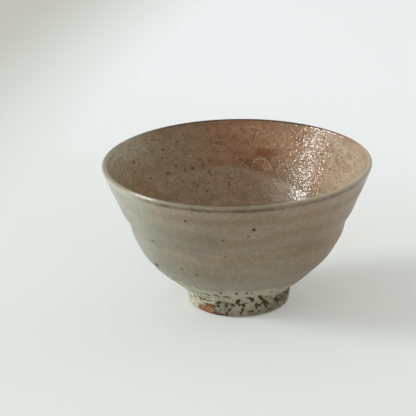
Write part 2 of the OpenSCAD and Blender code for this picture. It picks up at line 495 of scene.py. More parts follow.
def eased(line, steps, ease):
    """The line through its corners with points about a step apart, its corners eased over a distance.
    steps gives the step as a function of height."""
    fine = 0.05 * MM
    along = np.concatenate([[0], np.cumsum(np.hypot(*np.diff(line, axis=0).T))])
    count = int(along[-1] / fine) + 1
    at = np.linspace(0, along[-1], count)
    points = np.column_stack([np.interp(at, along, line[:, i]) for i in range(2)])
    reach = min(int(ease / fine), count - 1)
    window = np.hanning(2 * reach + 3)[1:-1]
    window /= window.sum()
    before = 2 * points[0] - points[reach:0:-1]
    after = 2 * points[-1] - points[-2:-reach - 2:-1]
    padded = np.vstack([before, points, after])
    points = np.column_stack([np.convolve(padded[:, i], window, "valid") for i in range(2)])
    density = np.array([fine / steps(height) for height in points[:, 1]])
    tally = np.cumsum(density) - density[0]
    wanted = np.linspace(0, tally[-1], max(2, int(round(tally[-1])) + 1))
    return np.column_stack([np.interp(wanted, tally, points[:, i]) for i in range(2)])


def facing(line):
    """The direction out of the clay at each point of an anticlockwise line."""
    along = np.gradient(line, axis=0)
    along /= np.linalg.norm(along, axis=1)[:, None]
    return np.column_stack([along[:, 1], -along[:, 0]])


# Geometry Nodes: a tree turns a section about the bowl's axis and raises its shown face

def turned_tree(name, sizes, relief):
    """A tree with named inputs that turns a section of stations and lifts it by relief, in metres.
    Closer, from 0 to below 1, draws its columns together on the side that Toward faces, in radians.
    relief gets the wiring, the tree's inputs and the place, and gives the height to lift by and the cover,
    which is 1 where the coat is whole and 0 in its gaps or pits."""
    tree = bpy.data.node_groups.new(name, "GeometryNodeTree")
    add = tree.interface.new_socket
    add("Section", in_out="INPUT", socket_type="NodeSocketGeometry")
    add("Around", in_out="INPUT", socket_type="NodeSocketInt")
    for size in ("Closer", "Toward", *sizes):
        add(size, in_out="INPUT", socket_type="NodeSocketFloat")
    add("Finish", in_out="INPUT", socket_type="NodeSocketMaterial")
    add("Piece", in_out="OUTPUT", socket_type="NodeSocketGeometry")
    w = Wiring(tree)
    given = w.node("NodeGroupInput").outputs
    stations = w.node("GeometryNodeAttributeDomainSize", Geometry=given["Section"]).outputs["Point Count"]
    grid = w.node(
        "GeometryNodeMeshGrid", Size_X=1.0, Size_Y=1.0,
        Vertices_X=stations, Vertices_Y=w.plus(given["Around"], 1.0),
    )
    mapped = w.node(
        "GeometryNodeStoreNamedAttribute", {"data_type": "FLOAT2", "domain": "CORNER"},
        Geometry=grid.outputs["Mesh"], Name="OFBake", Value=grid.outputs["UV Map"],
    ).outputs[0]
    place = w.parts(w.node("GeometryNodeInputPosition").outputs[0])
    station = w.node(
        "FunctionNodeFloatToInt", {"rounding_mode": "ROUND"},
        Float=w.times(w.plus(place["X"], 0.5), w.minus(stations, 1.0)),
    ).outputs[0]
    even_turn = w.times(w.plus(place["Y"], 0.5), 2 * math.pi)
    drawn = w.times(w.math("SINE", w.minus(even_turn, given["Toward"])), given["Closer"])
    turn = w.minus(even_turn, drawn)

    def at_station(value, kind):
        return w.node(
            "GeometryNodeSampleIndex", {"data_type": kind},
            Geometry=given["Section"], Value=value, Index=station,
        ).outputs[0]

    def turned(flat):
        parts = w.parts(flat)
        return w.node(
            "ShaderNodeCombineXYZ",
            X=w.times(parts["X"], w.math("COSINE", turn)),
            Y=w.times(parts["X"], w.math("SINE", turn)),
            Z=parts["Z"],
        ).outputs[0]

    def named(attribute, kind):
        return w.node("GeometryNodeInputNamedAttribute", {"data_type": kind}, Name=attribute).outputs[0]

    base = turned(at_station(w.node("GeometryNodeInputPosition").outputs[0], "FLOAT_VECTOR"))
    outward = turned(at_station(named("outward", "FLOAT_VECTOR"), "FLOAT_VECTOR"))
    shown = at_station(named("shown", "FLOAT"), "FLOAT")
    along = at_station(named("along", "FLOAT"), "FLOAT")
    height, cover = relief(w, given, base)
    lift = w.times(height, shown)
    marked = mapped
    for label, value in (("along", along), ("cover", cover)):
        marked = w.node(
            "GeometryNodeStoreNamedAttribute", {"data_type": "FLOAT", "domain": "POINT"},
            Geometry=marked, Name=label, Value=value,
        ).outputs[0]
    placed = w.node(
        "GeometryNodeSetPosition", Geometry=marked,
        Position=w.vector("ADD", base, w.scaled(outward, lift)),
    ).outputs[0]
    closed = w.node("GeometryNodeMergeByDistance", Geometry=placed, Distance=SEAM_WELD).outputs[0]
    smooth = w.node("GeometryNodeSetShadeSmooth", Geometry=closed).outputs[0]
    real = w.node("GeometryNodeRealizeInstances", Geometry=smooth).outputs[0]
    finished = w.node("GeometryNodeSetMaterial", Geometry=real, Material=given["Finish"]).outputs[0]
    w.feed(w.node("NodeGroupOutput").inputs["Piece"], finished)
    return tree


def total(w, parts):
    """The sum of shapes, each times its size."""
    result = 0.0
    for shape, size in parts:
        result = w.math("MULTIPLY_ADD", shape, size, result)
    return result


def thrown(w, given, where):
    """Throwing swells and orange peel. All the coats share them, so they meet without a step."""
    swell = w.ups_and_downs(w.vector("MULTIPLY", where, (0.2, 0.2, 1.0)), 9 * MM, detail=1.0)
    peel = w.ups_and_downs(where, 3 * MM)
    return total(w, ((swell, given["Swell"]), (peel, given["Peel"])))


def laid_flat(w, where):
    """The angle round the bowl, and the place on a foot that is rolled out flat: along its girth, and up.
    The overhang of the wall above the foot is drawn in, because it is seen at a slant."""
    at = w.parts(where)
    turn = w.math("ARCTAN2", at["Y"], at["X"])
    over = w.most(w.minus(at["Z"], FOOT_HEIGHT), 0.0)
    flat = w.node(
        "ShaderNodeCombineXYZ",
        X=w.times(turn, FOOT_RADIUS), Y=w.math("MULTIPLY_ADD", over, -OVERHANG, at["Z"]),
    ).outputs[0]
    return turn, flat


def flat_place(angle, height):
    """A place on that foot, by its angle in degrees and its height in millimetres."""
    over = max(height * MM - FOOT_HEIGHT, 0)
    return Vector((math.radians(angle) * FOOT_RADIUS, height * MM - OVERHANG * over, 0))


def from_strokes(w, flat, strokes, pinholes=(), spot=flat_place):
    """The distance to the edge of the nearest stroke or pinhole, in metres, below 0 inside it.
    spot gives the place of an angle and a height."""
    edges = []
    for width, places in strokes:
        corners = [spot(*place) for place in places]
        for start, stop in zip(corners, corners[1:]):
            run = stop - start
            beyond = w.vector("SUBTRACT", flat, tuple(start))
            share = w.math("DIVIDE", w.vector("DOT_PRODUCT", beyond, tuple(run)), run.length_squared)
            nearest = w.scaled(tuple(run), w.node("ShaderNodeClamp", Value=share).outputs[0])
            edges.append(w.minus(w.vector("DISTANCE", beyond, nearest), width * MM / 2))
    for width, angle, height in pinholes:
        away = w.vector("DISTANCE", flat, tuple(spot(angle, height)))
        edges.append(w.minus(away, width * MM / 2))
    return w.least(*edges)


def from_worms(w, where, gap, openness):
    """The distance to the edge of the nearest worm-like gap, in metres. The gaps are the level lines of a
    noise, broken into short lengths by another: openness is the share of their length that is open."""
    line = w.math("ABSOLUTE", w.ups_and_downs(where, CRAWL_APART, detail=1.0))
    broken = w.plus(w.noise(where, 0.9 * CRAWL_APART, detail=2.0), openness)
    closed = 0.7 * MM
    reach = w.math("MULTIPLY_ADD", gap, 0.5, closed)
    opened = w.math("MULTIPLY_ADD", w.between(broken, 0.97, 1.07), reach, -closed)
    return w.minus(w.times(line, 0.8 * CRAWL_APART), opened)


def crawl(w, where, gap, placed):
    """The distance to the nearest edge of bare clay, in metres, at a place on the foot or near it.
    Placed tears are on the side towards the camera, and worm-like gaps are everywhere else."""
    height = w.height_of(where)
    above = w.between(height, CRAWL_WORST, CRAWL_TOP, OPEN_WORST, OPEN_HIGH)
    below = w.between(height, 1.5 * MM, CRAWL_WORST - 3 * MM, OPEN_BASE, OPEN_WORST)
    openness = w.least(above, below)
    ragged = w.drift(where, 1.6 * MM, 0.7 * MM)
    turn, flat = laid_flat(w, ragged)
    if placed:
        torn = w.window(turn, *(math.radians(angle) for angle in TORN_SIDE))
        openness = w.math("MULTIPLY_ADD", torn, -OPEN_LESS, openness)
    wide = w.vector("MULTIPLY", w.drift(ragged, 8 * MM, 5 * MM), (1.0, 1.0, 1.7))
    crossing = w.vector("ADD", wide, ELSEWHERE)
    away = w.least(from_worms(w, wide, gap, openness), from_worms(w, crossing, gap, openness))
    if placed:
        away = w.least(away, from_strokes(w, flat, TEARS, PINHOLES))
    return away


def outer_relief(w, given, where):
    """Crepe where the wall was trimmed near the foot, roughest towards the window, and crawling below."""
    at = w.parts(where)
    crepe = w.ups_and_downs(w.drift(where, 5 * MM, 2 * MM), 2.8 * MM, detail=2.0)
    trimmed = w.between(at["Z"], CREPE_TOP, 0.6 * CREPE_TOP)
    by_window = w.between(at["X"], 0.0, -30 * MM, 0.2, 1.0)
    away = crawl(w, where, given["Gap"], True)
    cover = w.between(away, 0.0, CRAWL_EDGE)
    thicker = w.times(w.between(at["Z"], CRAWL_TOP, 0.6 * CRAWL_TOP), w.between(away, 0.0, CRAWL_PUFF))
    own = total(w, (
        (w.times(trimmed, by_window, crepe), given["Crepe"]),
        (w.minus(cover, 1.0), given["Crawl"]),
        (thicker, given["Thicker"]),
    ))
    return w.plus(thrown(w, given, where), own), cover


def ring_swell(w, height, crest, apart):
    """Level rings at a distance apart: 1 on a crest and -1 half way to the next."""
    turns = w.math("DIVIDE", w.minus(height, crest), apart)
    return w.math("COSINE", w.times(turns, 2 * math.pi))


def ledge_height(w, where):
    """The height of the ledge inside, which winds down towards +X."""
    return w.between(w.parts(where)["X"], -8 * MM, 55 * MM, LEDGE_HIGH, LEDGE_LOW)


def above_ledge(w, where):
    return w.minus(w.height_of(where), ledge_height(w, where))


def wrinkle_shape(w, where):
    """The crests of the wrinkles away from the window, and the pits between them, from 0 to 1."""
    wandering = w.drift(where, INNER_WRINKLE_APART, 0.6 * INNER_WRINKLE_APART)
    fold = w.math("ABSOLUTE", w.ups_and_downs(wandering, INNER_WRINKLE_APART, detail=1.0))
    far = w.vector("DISTANCE", where, tuple(WRINKLED_MIDDLE))
    raised = w.between(above_ledge(w, where), -1 * MM, 3 * MM, 0.45, 1.0)
    near = w.times(w.between(far, 62 * MM, 30 * MM), raised)
    patchy = w.between(w.noise(where, 7 * MM, detail=2.0), 0.36, 0.6, 0.45, 1.25)
    crests = w.times(w.between(fold, 0.18, 0.0), patchy, near)
    return crests, w.times(w.between(fold, 0.12, 0.3), near)


def inner_relief(w, given, where):
    """A wound ledge half way down, wrinkles above it away from the window, and wide rings in the wall."""
    at = w.parts(where)
    above = above_ledge(w, where)
    fading = w.between(at["X"], 12 * MM, 40 * MM, 1.0, 0.25)
    ledge = w.times(w.window(above, -3 * MM, 0.0, 0.0, 5 * MM), fading)
    wrinkled, pitted = wrinkle_shape(w, where)
    ripple = w.times(w.ups_and_downs(where, 2.6 * MM), w.between(above, 0.0, -3 * MM))
    clear_of_floor = w.between(at["Z"], 38 * MM, 48 * MM)
    clear_of_lip = w.between(at["Z"], BOWL_HEIGHT - 2.2 * MM, BOWL_HEIGHT - 5 * MM)
    rings = w.times(ring_swell(w, at["Z"], INNER_RING_AT, INNER_RING_APART), clear_of_floor, clear_of_lip)
    own = total(w, (
        (ledge, given["Ledge"]),
        (wrinkled, given["Wrinkle"]),
        (ripple, given["Ripple"]),
        (rings, given["Ring"]),
    ))
    return w.plus(own, thrown(w, given, where)), w.minus(1.0, pitted)


def lip_relief(w, given, where):
    """The wrinkles of the inside run on to the crown of the lip."""
    at = w.parts(where)
    radius = w.vector("LENGTH", w.node("ShaderNodeCombineXYZ", X=at["X"], Y=at["Y"]).outputs[0])
    inner_side = w.between(radius, LIP_CROWN, LIP_CROWN - 1.2 * MM)
    wrinkled, pitted = (w.times(shape, inner_side) for shape in wrinkle_shape(w, where))
    height = w.math("MULTIPLY_ADD", wrinkled, given["Wrinkle"], thrown(w, given, where))
    return height, w.minus(1.0, pitted)


def crawled_relief(w, given, where):
    """Puffed islands of thick glaze, sunk below the clay in the gaps, at the base and where it was held."""
    height = w.height_of(where)
    away = crawl(w, where, given["Gap"], True)
    flat = laid_flat(w, w.drift(w.drift(where, 5 * MM, 3 * MM), 1.4 * MM, 1.4 * MM))[1]
    away = w.least(away, from_strokes(w, flat, BARE))
    cover = w.times(w.between(away, 0.0, CRAWL_EDGE), w.between(height, 0.4 * MM, 1.0 * MM))
    rising = w.between(height, 1 * MM, 7 * MM, given["Thin"], given["Thick"])
    uneven = w.math("MULTIPLY_ADD", w.ups_and_downs(where, 3 * MM), 0.5, 1.0)
    puffed = w.times(uneven, w.between(away, 0.0, CRAWL_PUFF, 0.5, 1.0))
    fading = w.between(height, CRAWL_WORST, CRAWL_FADED, 0.0, 1.3)
    thick = w.minus(w.times(rising, puffed), w.times(fading, given["Thick"]))
    span = w.plus(thick, given["Depth"])
    return w.minus(w.times(cover, span), given["Depth"]), cover


def well_relief(w, given, where):
    """A thin coat with gaps, in the well that the photograph doesn't show."""
    cover = w.between(crawl(w, where, given["Gap"], False), 0.0, CRAWL_EDGE)
    return w.times(w.minus(cover, 1.0), given["Depth"]), cover


def clay_relief(w, given, where):
    """Fine lines left by the turning tool, with grains of grog."""
    lines = w.ups_and_downs(w.vector("MULTIPLY", where, (0.05, 0.05, 1.0)), 0.9 * MM)
    grains = w.ups_and_downs(where, 0.9 * MM, detail=3.0)
    return total(w, ((lines, given["Lines"]), (grains, given["Grog"]))), 1.0


outer_tree = turned_tree("Outer coat", ("Swell", "Peel", "Crepe", "Gap", "Crawl", "Thicker"), outer_relief)
inner_tree = turned_tree("Inner coat", ("Swell", "Peel", "Ledge", "Wrinkle", "Ripple", "Ring"), inner_relief)
lip_tree = turned_tree("Lip coat", ("Swell", "Peel", "Wrinkle"), lip_relief)
crawled_tree = turned_tree("Crawled coat", ("Gap", "Thick", "Thin", "Depth"), crawled_relief)
well_tree = turned_tree("Well coat", ("Gap", "Depth"), well_relief)
clay_tree = turned_tree("Turned clay", ("Lines", "Grog"), clay_relief)


def handmade(places):
    """The places with the small oval and dip that a hand leaves, growing from nothing at the foot to the
    lip, and with the low wall a little off its axis. Nothing is below the table."""
    x, y, z = places.T
    turn = np.arctan2(y, x)
    rise = np.clip((z - FOOT_HEIGHT) / (BOWL_HEIGHT - FOOT_HEIGHT), 0, 1) ** 1.5
    out = 1 + rise * LIP_OVAL * np.cos(2 * turn - 0.6) / cad_box[1].x
    lift = rise * LIP_DIP * (0.6 * np.cos(2 * turn + 1.1) + 0.4 * np.cos(3 * turn + 2.0))
    sway = LOW_SWAY * np.exp(-((z - LOW_SWAY_AT) / LOW_SWAY_WIDE) ** 2)
    return np.column_stack([x * out - sway, y * out, np.maximum(z + lift, 0)])


def made_solid(maker, name):
    """The maker's evaluated shape as a plain mesh on an object of its own. The maker is removed."""
    mesh = bpy.data.meshes.new_from_object(maker.evaluated_get(bpy.context.evaluated_depsgraph_get()))
    mesh.name = name
    spare = maker.data
    bpy.data.objects.remove(maker)
    bpy.data.meshes.remove(spare)
    return new_object(name, mesh)


def run_tree(name, mesh, tree, values):
    """A new piece from a mesh and a tree, whose inputs are set by their names here."""
    maker = new_object(name + "_maker", mesh)
    modifier = maker.modifiers.new(tree.name, "NODES")
    modifier.node_group = tree
    for item in tree.interface.items_tree:
        if item.in_out == "INPUT" and item.name in values:
            modifier[item.identifier] = values[item.name]
    return made_solid(maker, name)


def turned_piece(name, stations, tree, around, finish, values):
    """A piece turned from stations of (radius, height, outward radius, outward height, shown, along)."""
    mesh = bpy.data.meshes.new(name + "_section")
    mesh.from_pydata([(r, 0, z) for r, z, *rest in stations], [], [])
    outward = mesh.attributes.new("outward", "FLOAT_VECTOR", "POINT")
    outward.data.foreach_set("vector", [part for s in stations for part in (s[2], 0, s[3])])
    for column, label in ((4, "shown"), (5, "along")):
        mark = mesh.attributes.new(label, "FLOAT", "POINT")
        mark.data.foreach_set("value", [s[column] for s in stations])
    piece = run_tree(name, mesh, tree, {"Around": around, "Finish": finish, **values})
    places = np.empty(len(piece.data.vertices) * 3)
    piece.data.vertices.foreach_get("co", places)
    piece.data.vertices.foreach_set("co", handmade(places.reshape(-1, 3)).ravel())
    piece.data.set_sharp_from_angle(angle=SHARP_EDGE)
    piece.data.update()
    return piece


def stations_of(line, shown):
    """Stations along a line of a section, which relief lifts where shown is 1 and leaves where it is 0."""
    along = shown * np.linspace(0, 1, len(line))
    return np.column_stack([line, facing(line), np.full(len(line), shown), along])


def coat_stations(shown, hidden):
    """Stations round a thin coat: its shown line, then its hidden line, closed or ended at the axis."""
    parts = [stations_of(shown, 1.0), stations_of(hidden, 0.0)]
    if hidden[0][0] < AT_AXIS:
        return np.vstack(parts[::-1])
    if shown[0][0] < AT_AXIS:
        return np.vstack(parts)
    return np.vstack(parts + [parts[0][:1]])


def thinned(line):
    """Every fourth corner of a hidden line, and its ends."""
    return np.vstack([line[:-1:4], line[-1:]])


# Shader groups that the glazes share

def shader_group(name, places, values, outputs):
    """A new shader group that takes places and values, and puts out values."""
    tree = bpy.data.node_groups.new(name, "ShaderNodeTree")
    for labels, way, kind in (
        (places, "INPUT", "NodeSocketVector"),
        (values, "INPUT", "NodeSocketFloat"),
        (outputs, "OUTPUT", "NodeSocketFloat"),
    ):
        for label in labels:
            tree.interface.new_socket(label, in_out=way, socket_type=kind)
    w = Wiring(tree)
    return tree, w, w.node("NodeGroupInput").outputs, w.node("NodeGroupOutput").inputs


def throwing_bands_group():
    """Soft level bands and clouds, as the glaze lies thin on throwing ridges and thick between them."""
    tree, w, given, out = shader_group(
        "Throwing bands", ["Place"], [], ["Bands", "Clouds", "Mottle", "Grain"])
    place = given["Place"]
    wandering = w.drift(place, 40 * MM, 6 * MM)
    level = w.vector("MULTIPLY", wandering, (0.12, 0.12, 1.0))
    rings = ring_swell(w, w.height_of(wandering), OUTER_RING_AT, OUTER_RING_APART)
    bands = w.math("MULTIPLY_ADD", rings, -0.1, w.noise(level, 5 * MM, detail=3.0))
    w.feed(out["Bands"], w.between(bands, 0.3, 0.7))
    w.feed(out["Clouds"], w.between(w.noise(place, 36 * MM, detail=3.0), 0.36, 0.64))
    w.feed(out["Mottle"], w.between(w.noise(place, 4 * MM, detail=4.0, roughness=0.6), 0.3, 0.7))
    w.feed(out["Grain"], w.between(w.noise(place, 1.0 * MM, detail=3.0, roughness=0.65), 0.3, 0.7))
    return tree


def iron_dots_group():
    """Fine round dots where grains of iron have bled into the glaze."""
    tree, w, given, out = shader_group("Iron dots", ["Place"], ["Apart", "Share"], ["Dots"])
    grains = w.node(
        "ShaderNodeTexVoronoi", Vector=w.drift(given["Place"], 1 * MM, 0.3 * MM),
        Scale=w.math("DIVIDE", 1.0, given["Apart"]))
    chance = w.node("ShaderNodeSeparateColor", Color=grains.outputs["Color"]).outputs
    here = w.math("LESS_THAN", chance[0], given["Share"])
    size = w.math("MULTIPLY_ADD", chance[1], 0.14, 0.1)
    dot = w.between(w.math("DIVIDE", grains.outputs["Distance"], size), 1.0, 0.4)
    w.feed(out["Dots"], w.times(dot, here))
    return tree


def glaze_skin_group():
    """The fine height of a glaze, in metres: orange peel everywhere, lumps and folds where it wrinkled."""
    tree, w, given, out = shader_group("Glaze skin", ["Place"], ["Wrinkled"], ["Height"])
    place = given["Place"]
    peel = w.times(w.ups_and_downs(place, 1.6 * MM, detail=2.0), PEEL_HEIGHT)
    fold = w.math("ABSOLUTE", w.ups_and_downs(w.drift(place, 2 * MM, 1.5 * MM), 1.2 * MM, detail=1.0))
    folds = w.times(w.between(fold, 0.0, 0.35), FOLD_HEIGHT)
    lumps = w.math("MULTIPLY_ADD", w.ups_and_downs(place, LUMPS_APART, detail=1.0), LUMP_HEIGHT, folds)
    w.feed(out["Height"], w.math("MULTIPLY_ADD", lumps, given["Wrinkled"], peel))
    return tree


def soft_patch_group():
    """A ragged patch round one place: 1 at its middle, 0 outside its reach."""
    tree, w, given, out = shader_group("Soft patch", ["Place", "Middle"], ["Reach"], ["Patch"])
    away = w.vector("DISTANCE", w.drift(given["Place"], 7 * MM, 4 * MM), given["Middle"])
    w.feed(out["Patch"], w.between(w.math("DIVIDE", away, given["Reach"]), 1.0, 0.5))
    return tree


BANDS = throwing_bands_group()
DOTS = iron_dots_group()
SKIN = glaze_skin_group()
PATCH = soft_patch_group()


def new_material(name):
    """A material with its wiring, its Principled shader and the place on the bowl."""
    material = bpy.data.materials.new(name)
    material.use_nodes = True
    w = Wiring(material.node_tree)
    shader = material.node_tree.nodes["Principled BSDF"]
    place = w.node("ShaderNodeTexCoord").outputs["Object"]
    return material, w, shader, place


def use(w, tree, **feeds):
    """The outputs of a shared group that is placed in a material."""
    return w.node("ShaderNodeGroup", {"node_tree": tree}, **feeds).outputs


def patch(w, place, middle, reach):
    return use(w, PATCH, Place=place, Middle=tuple(middle), Reach=reach)["Patch"]


def stored(w, label):
    """A value that the piece's tree has stored on its surface."""
    return w.node("ShaderNodeAttribute", {"attribute_name": label}).outputs["Fac"]


def set_surface(w, shader, colour, roughness, height):
    """Feeds a shader its colour, its roughness and a normal bent by a height in metres."""
    bump = w.node("ShaderNodeBump", Height=height, Distance=1.0, Strength=1.0)
    for socket, value in (
        ("Base Color", colour), ("Roughness", roughness), ("Normal", bump.outputs["Normal"]),
    ):
        w.feed(shader.inputs[socket], value)


@functools.lru_cache
def shown_side(node):
    """The shown line of a coat on the wall, from its foot up."""
    inside = node == "inner_glaze"
    side = min(long_lines(node), key=lambda run: (1 if inside else -1) * run[:, 0].mean())
    return side[np.argsort(side[:, 1])]


def on_coat(node, angle, height):
    """A place on the shown face of a coat, by its angle in degrees and its height in millimetres."""
    side = shown_side(node)
    return on_bowl(angle, float(np.interp(height * MM, side[:, 1], side[:, 0])), height * MM)


def on_inside(angle, height):
    return on_coat("inner_glaze", angle, height)


def specks(w, place, node, places):
    """The dark of each listed speck of iron, and the rust that has bled round it, from 0 to 1."""
    ragged = w.drift(place, 1.2 * MM, 0.35 * MM)
    shares = []
    for angle, height, width in places:
        away = w.vector("DISTANCE", ragged, tuple(on_coat(node, angle, height)))
        shares.append(w.math("DIVIDE", away, width * MM))
    nearest = w.least(*shares)
    return w.between(nearest, 0.62, 0.36), w.between(nearest, 1.05, 0.55)


def shaded(w, colour, *shades):
    """The colour made a little lighter and darker by values from 0 to 1."""
    for value, amount in shades:
        colour = w.mix(amount, colour, value, "OVERLAY")
    return colour


def outer_colours(w, place, bands):
    """The outer coat's colour: grey-green ash on the window's side and red-brown away from it, with painted
    sheen and shade.
    """
    at = w.parts(place)
    wander = w.times(w.ups_and_downs(place, 30 * MM), 16 * MM)
    under_lip = w.between(at["Z"], 62 * MM, 74 * MM, 0.0, 12 * MM)
    side = w.plus(under_lip, at["X"], wander)
    slant = w.math("MULTIPLY_ADD", at["X"], 0.35, at["Z"])
    warmth = w.times(w.between(side, -52 * MM, -8 * MM), w.between(slant, 8 * MM, 32 * MM))
    high = w.between(at["Z"], 55 * MM, 76 * MM)
    low = w.between(at["Z"], 50 * MM, 24 * MM)
    ash = w.mix(bands["Bands"], *OUTER_ASH)
    ash = w.mix(w.between(at["Z"], 46 * MM, 28 * MM), ash, srgb(156, 153, 136))
    # Paler ash high on the wall: partly the glaze's tone, partly a painted sheen of the window on the upper
    # left.
    ash = w.mix(high, ash, srgb(172, 170, 151))
    warm = w.mix(bands["Bands"], *OUTER_WARM)
    warm = w.mix(low, warm, srgb(154, 145, 126))
    red = w.mix(bands["Bands"], *OUTER_RED)
    red = w.tinted(red, high, 0.8, srgb(175, 155, 134))
    # Paler red towards the right edge: partly the glaze's tone, partly a painted sheen where the wall
    # catches the room's light at a graze.
    red = w.mix(w.between(at["X"], 36 * MM, 60 * MM, 0.0, 0.5), red, srgb(180, 164, 145))
    red = w.tinted(red, low, 0.3, srgb(154, 140, 120))
    colour = w.mix(warmth, ash, w.mix(w.between(side, 10 * MM, 55 * MM), warm, red))
    # Painted shade: on the window's side of the front, between foot and lip, the wall is darkened where the
    # window's light falls off round it.
    below_lip = w.between(at["Z"], 84 * MM, 62 * MM)
    above_foot = w.between(at["Z"], 26 * MM, 36 * MM)
    painted_shade = w.times(w.window(side, -56 * MM, -38 * MM, -26 * MM, -4 * MM), below_lip, above_foot)
    colour = w.tinted(colour, painted_shade, 0.27, srgb(88, 77, 60))
    waver = w.times(w.ups_and_downs(place, 14 * MM), 3 * MM)
    from_band = w.math("ABSOLUTE", w.plus(waver, w.minus(at["Z"], 73 * MM)))
    away_from_window = w.between(at["X"], -42 * MM, -22 * MM)
    patchy = w.between(bands["Mottle"], 0.2, 0.9, 0.1, 0.45)
    banded = w.times(w.between(from_band, 3.5 * MM, 0.5 * MM), away_from_window, patchy)
    colour = w.mix(banded, colour, srgb(126, 88, 64))
    return shaded(w, colour, (bands["Mottle"], 0.1), (bands["Grain"], 0.13))


def inner_colours(w, place, bands):
    """The inner coat's colour: brown, tan away from the window, greyer below the ledge and beside it, and
    paler where a painted sheen stands in for the window's soft reflection.
    """
    at = w.parts(place)
    brown = w.mix(bands["Bands"], *INNER_BROWN)
    brown = w.mix(w.between(at["X"], -5 * MM, -38 * MM), brown, srgb(150, 128, 102))
    tan = w.mix(bands["Clouds"], *INNER_TAN)
    tan = w.mix(w.between(bands["Mottle"], 0.35, 0.85, 0.0, 0.45), tan, srgb(142, 102, 62))
    # Paler and greyer towards the far +X side: partly the glaze's tone, partly a painted sheen of the
    # window's soft reflection.
    tan = w.mix(w.between(at["X"], 34 * MM, 60 * MM, 0.0, 0.75), tan, srgb(175, 161, 137))
    grey = w.mix(bands["Bands"], *INNER_GREY)
    # Painted sheen: the grey below the ledge is made paler towards +X, where the window's soft reflection
    # falls.
    grey = w.mix(w.between(at["X"], 5 * MM, 35 * MM), grey, srgb(176, 158, 132))
    colour = w.mix(w.between(at["X"], 4 * MM, 40 * MM), brown, tan)
    smoked = w.times(w.between(at["Z"], 73 * MM, 82 * MM), w.between(at["X"], 48 * MM, 26 * MM))
    colour = w.tinted(colour, smoked, 0.35, SMOKE)
    below = w.minus(ledge_height(w, place), at["Z"])
    colour = w.mix(w.between(below, -1.5 * MM, 2.5 * MM, 0.0, 0.9), colour, grey)
    ashen = w.times(w.between(at["X"], -40 * MM, -66 * MM), w.between(at["Z"], 52 * MM, 78 * MM))
    colour = w.tinted(colour, ashen, 0.75, srgb(162, 154, 131))
    rusty = w.times(w.between(at["X"], 44 * MM, 62 * MM), w.between(at["Z"], 79 * MM, 82 * MM))
    colour = w.tinted(colour, rusty, 0.35, srgb(156, 98, 58))
    return shaded(w, colour, (bands["Mottle"], 0.16), (bands["Grain"], 0.2))


def wrinkles(w, place):
    """Where the inside is wrinkled: strongly above the ledge on the side away from the window."""
    zone = w.most(patch(w, place, WRINKLED_MIDDLE, 60 * MM), 0.15)
    return w.times(zone, w.between(above_ledge(w, place), -1 * MM, 3 * MM, 0.5, 1.0))


def pale_glaze(w, place, bands):
    """The thick pale glaze about the foot. It is darker and browner away from the window and at the base: in
    part a thinner glaze, in part painted shade.
    """
    at = w.parts(place)
    thick = w.mix(bands["Mottle"], *PALE_THICK)
    # The darker tone, used away from the window and at the base, is in part painted shade.
    thin = w.mix(bands["Mottle"], *PALE_THIN_AND_SHADED)
    side = w.math("MULTIPLY_ADD", at["Z"], -3.0, at["X"])
    colour = shaded(w, w.mix(w.between(side, -30 * MM, 10 * MM), thick, thin), (bands["Grain"], 0.25))
    colour = w.mix(w.between(at["Z"], 9 * MM, 15 * MM, 0.0, 0.6), colour, srgb(198, 196, 170))
    sandy = patch(w, place, on_bowl(SANDY_ANGLE, FOOT_RADIUS, SANDY_HEIGHT), SANDY_REACH)
    grains = use(w, DOTS, Place=place, Apart=1.3 * MM, Share=0.85)["Dots"]
    return w.tinted(colour, sandy, w.math("MULTIPLY_ADD", grains, 0.45, 0.5), srgb(78, 72, 60))


def outer_glaze_material():
    material, w, shader, place = new_material("Outer glaze")
    bands = use(w, BANDS, Place=place)
    at = w.parts(place)
    height = w.math("MULTIPLY_ADD", w.ups_and_downs(place, 9 * MM), 5 * MM, at["Z"])
    slant = w.math("MULTIPLY_ADD", at["X"], 0.06, height)
    edge = w.math("MULTIPLY_ADD", w.ups_and_downs(place, 3 * MM), 3 * MM, slant)
    by_foot = w.between(edge, 24 * MM, 20 * MM)
    colour = w.mix(by_foot, outer_colours(w, place, bands), pale_glaze(w, place, bands))
    colour = w.mix(w.between(stored(w, "cover"), 0.75, 0.4), colour, TORN_CLAY)
    pits = use(w, DOTS, Place=place, Apart=4.2 * MM, Share=0.4)["Dots"]
    colour = w.tinted(colour, pits, w.between(height, 44 * MM, 26 * MM, 0.12, 0.6), srgb(92, 68, 52))
    dark, bled = specks(w, place, "outer_glaze", OUTER_SPECKS)
    colour = w.tinted(colour, bled, 0.25, SMOKE)
    colour = w.mix(dark, colour, IRON)
    satin = w.between(bands["Mottle"], 0.0, 1.0, *SATIN)
    roughness = w.most(satin, w.times(dark, 0.9))
    set_surface(w, shader, colour, roughness, use(w, SKIN, Place=place, Wrinkled=0.0)["Height"])
    return material


